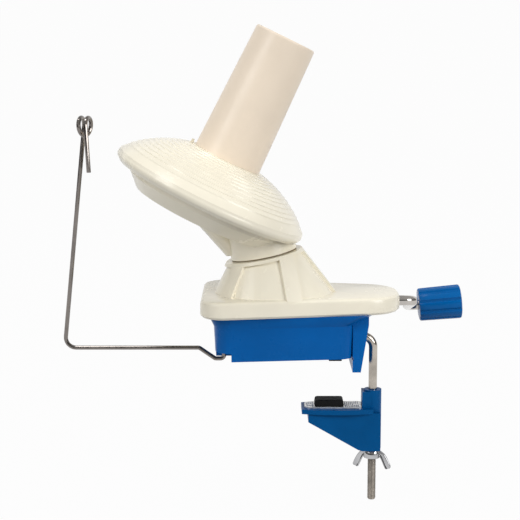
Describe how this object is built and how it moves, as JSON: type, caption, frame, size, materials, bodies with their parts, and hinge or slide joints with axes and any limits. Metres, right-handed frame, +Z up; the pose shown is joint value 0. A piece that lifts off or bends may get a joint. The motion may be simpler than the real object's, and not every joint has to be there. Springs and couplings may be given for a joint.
{
  "type": "yarn ball winder",
  "caption": "Hand-cranked yarn ball winder with a geared rotor that tips and spins a bobbin on a flange, a wire yarn guide and a table clamp.",
  "frame": {"origin": "middle of the table's top edge, where the stop lip's face meets the plane of the seat strips", "axes": "+Z up from the table top, +X out from the table edge to the crank, +Y to the back"},
  "size_m": [0.2836, 0.141, 0.3366],
  "materials": {
    "cream": "satin moulded",
    "bobbin_cream": "satin moulded",
    "blue": "gloss moulded",
    "bracket_blue": "satin paint",
    "steel": "nickel plated",
    "rod_steel": "dull plated",
    "nylon": "moulded",
    "bush": "turned",
    "rubber": "moulded"
  },
  "bodies": {
    "frame": {"base_housing": "blue", "top_cover": "cream", "seat_strips": "rubber", "cover_screws": "steel", "gear_frame": "nylon", "frame_screws": "steel", "crank_bush_inner": "bush", "crank_bush_outer": "bush", "sun_post": "steel", "sun_gear": "nylon", "sun_screw": "steel", "thrust_washer": "nylon", "clamp_rod": "rod_steel", "rod_retainer": "steel"},
    "crank": {"crank_rod": "steel", "crank_gear": "nylon", "crank_gear_pin": "steel", "crank_collar": "steel", "knob_retainer": "steel"},
    "knob": {"crank_knob": "blue"},
    "rotor": {"rotor_shell": "cream", "rotor_pinion": "nylon", "rotor_screws": "steel", "spindle_bushes": "bush"},
    "flange": {"flange": "cream", "spindle": "steel", "planet_gear": "nylon", "planet_screws": "steel", "spindle_washer": "nylon", "spindle_clip": "steel"},
    "bobbin": {"bobbin": "bobbin_cream"},
    "clamp": {"clamp_bracket": "bracket_blue", "jaw_plate": "steel", "jaw_pad": "rubber", "jaw_rivets": "steel", "clamp_washer": "steel"},
    "nut": {"wing_nut": "steel"},
    "guide": {"yarn_guide": "steel"}
  },
  "joints": [
    {"name": "rotor_turn", "type": "hinge", "parent": "frame", "child": "rotor", "pos_m": [-0.0611, 0, 0.0708], "axis": [-0.1994, 0, 0.9799], "continuous": true},
    {"name": "crank_turn", "type": "hinge", "parent": "frame", "child": "crank", "pos_m": [-0.05443, 0, 0.038], "axis": [1, 0, 0], "continuous": true},
    {"name": "knob_spin", "type": "hinge", "parent": "crank", "child": "knob", "pos_m": [0.0443, 0.05023, 0.02454], "axis": [0.9962, 0, 0.0872], "continuous": true},
    {"name": "flange_spin", "type": "hinge", "parent": "rotor", "child": "flange", "pos_m": [-0.09916, 0, 0.1119], "axis": [0.4384, 0, 0.8988], "continuous": true},
    {"name": "bobbin_lift", "type": "slide", "parent": "flange", "child": "bobbin", "axis": [0.4384, 0, 0.8988], "range_m": [0, 0.1]},
    {"name": "clamp_slide", "type": "slide", "parent": "frame", "child": "clamp", "axis": [0, 0, 1], "range_m": [-0.018, 0.024]},
    {"name": "wing_nut_turn", "type": "hinge", "parent": "clamp", "child": "nut", "pos_m": [0.016, 0, -0.07], "axis": [0, 0, 1], "continuous": true},
    {"name": "guide_swing", "type": "hinge", "parent": "frame", "child": "guide", "pos_m": [-0.0886, -0.027, 0.01], "axis": [0, 0, 1], "range_deg": [-30, 30]}
  ],
  "couplings": [
    {"joint": "crank_turn", "follows": "rotor_turn", "ratio": -0.25},
    {"joint": "flange_spin", "follows": "rotor_turn", "ratio": 0.40625}
  ]
}
